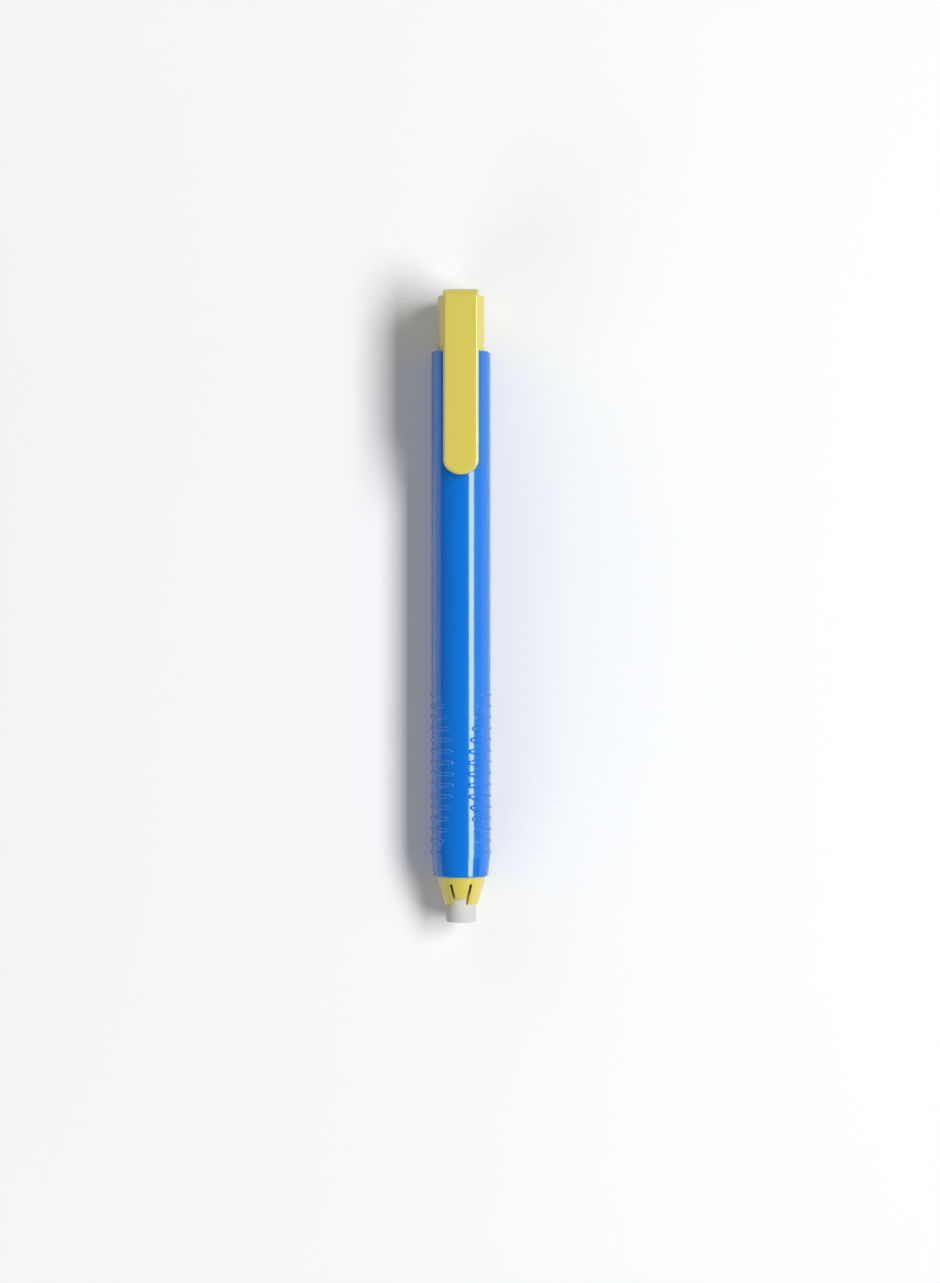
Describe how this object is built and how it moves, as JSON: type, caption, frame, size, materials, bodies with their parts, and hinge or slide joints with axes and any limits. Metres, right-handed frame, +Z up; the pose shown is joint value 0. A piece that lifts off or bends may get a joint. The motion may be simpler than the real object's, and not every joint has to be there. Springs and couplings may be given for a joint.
{
  "type": "push-action eraser stick",
  "caption": "Slim round holder that feeds a cylindrical eraser out of a slotted nose cone when its end button is pressed, with a side clip and ribbed grip.",
  "frame": {"origin": "middle of the stick's length, on the surface that it lies on, under the barrel's axis", "axes": "+X along the stick towards the button, with the eraser towards -X; +Z up, where the pocket clip is; +Y across"},
  "size_m": [0.1272, 0.0124, 0.0158],
  "materials": {
    "barrel_plastic": "glossy azure blue moulded plastic",
    "pale_plastic": "glossy pale yellow moulded plastic",
    "eraser": "matte white vinyl",
    "jaw_plastic": "natural acetal, satin",
    "ring_brass": "turned brass",
    "spring_steel": "drawn wire",
    "tube_plastic": "milky natural plastic"
  },
  "bodies": {
    "housing": {"barrel": "barrel_plastic", "nose_cone": "pale_plastic", "return_spring": "spring_steel"},
    "knock": {"knock_button": "pale_plastic", "pocket_clip": "pale_plastic", "refill_tube": "tube_plastic", "jaw_chuck": "jaw_plastic"},
    "ring": {"clutch_ring": "ring_brass"},
    "refill": {"eraser_stick": "eraser"}
  },
  "joints": [
    {"name": "knock_slide", "type": "slide", "parent": "housing", "child": "knock", "axis": [-1, 0, 0], "range_m": [0, 0.004], "stiffness_N_per_m": 400, "springref_m": -0.003, "deforming": ["return_spring"]},
    {"name": "ring_slide", "type": "slide", "parent": "housing", "child": "ring", "axis": [-1, 0, 0], "range_m": [0, 0.0015]},
    {"name": "eraser_feed", "type": "slide", "parent": "knock", "child": "refill", "axis": [-1, 0, 0], "range_m": [-0.0036, 0.055]}
  ],
  "couplings": [
    {"joint": "ring_slide", "follows": "knock_slide", "ratio": 0.375}
  ]
}
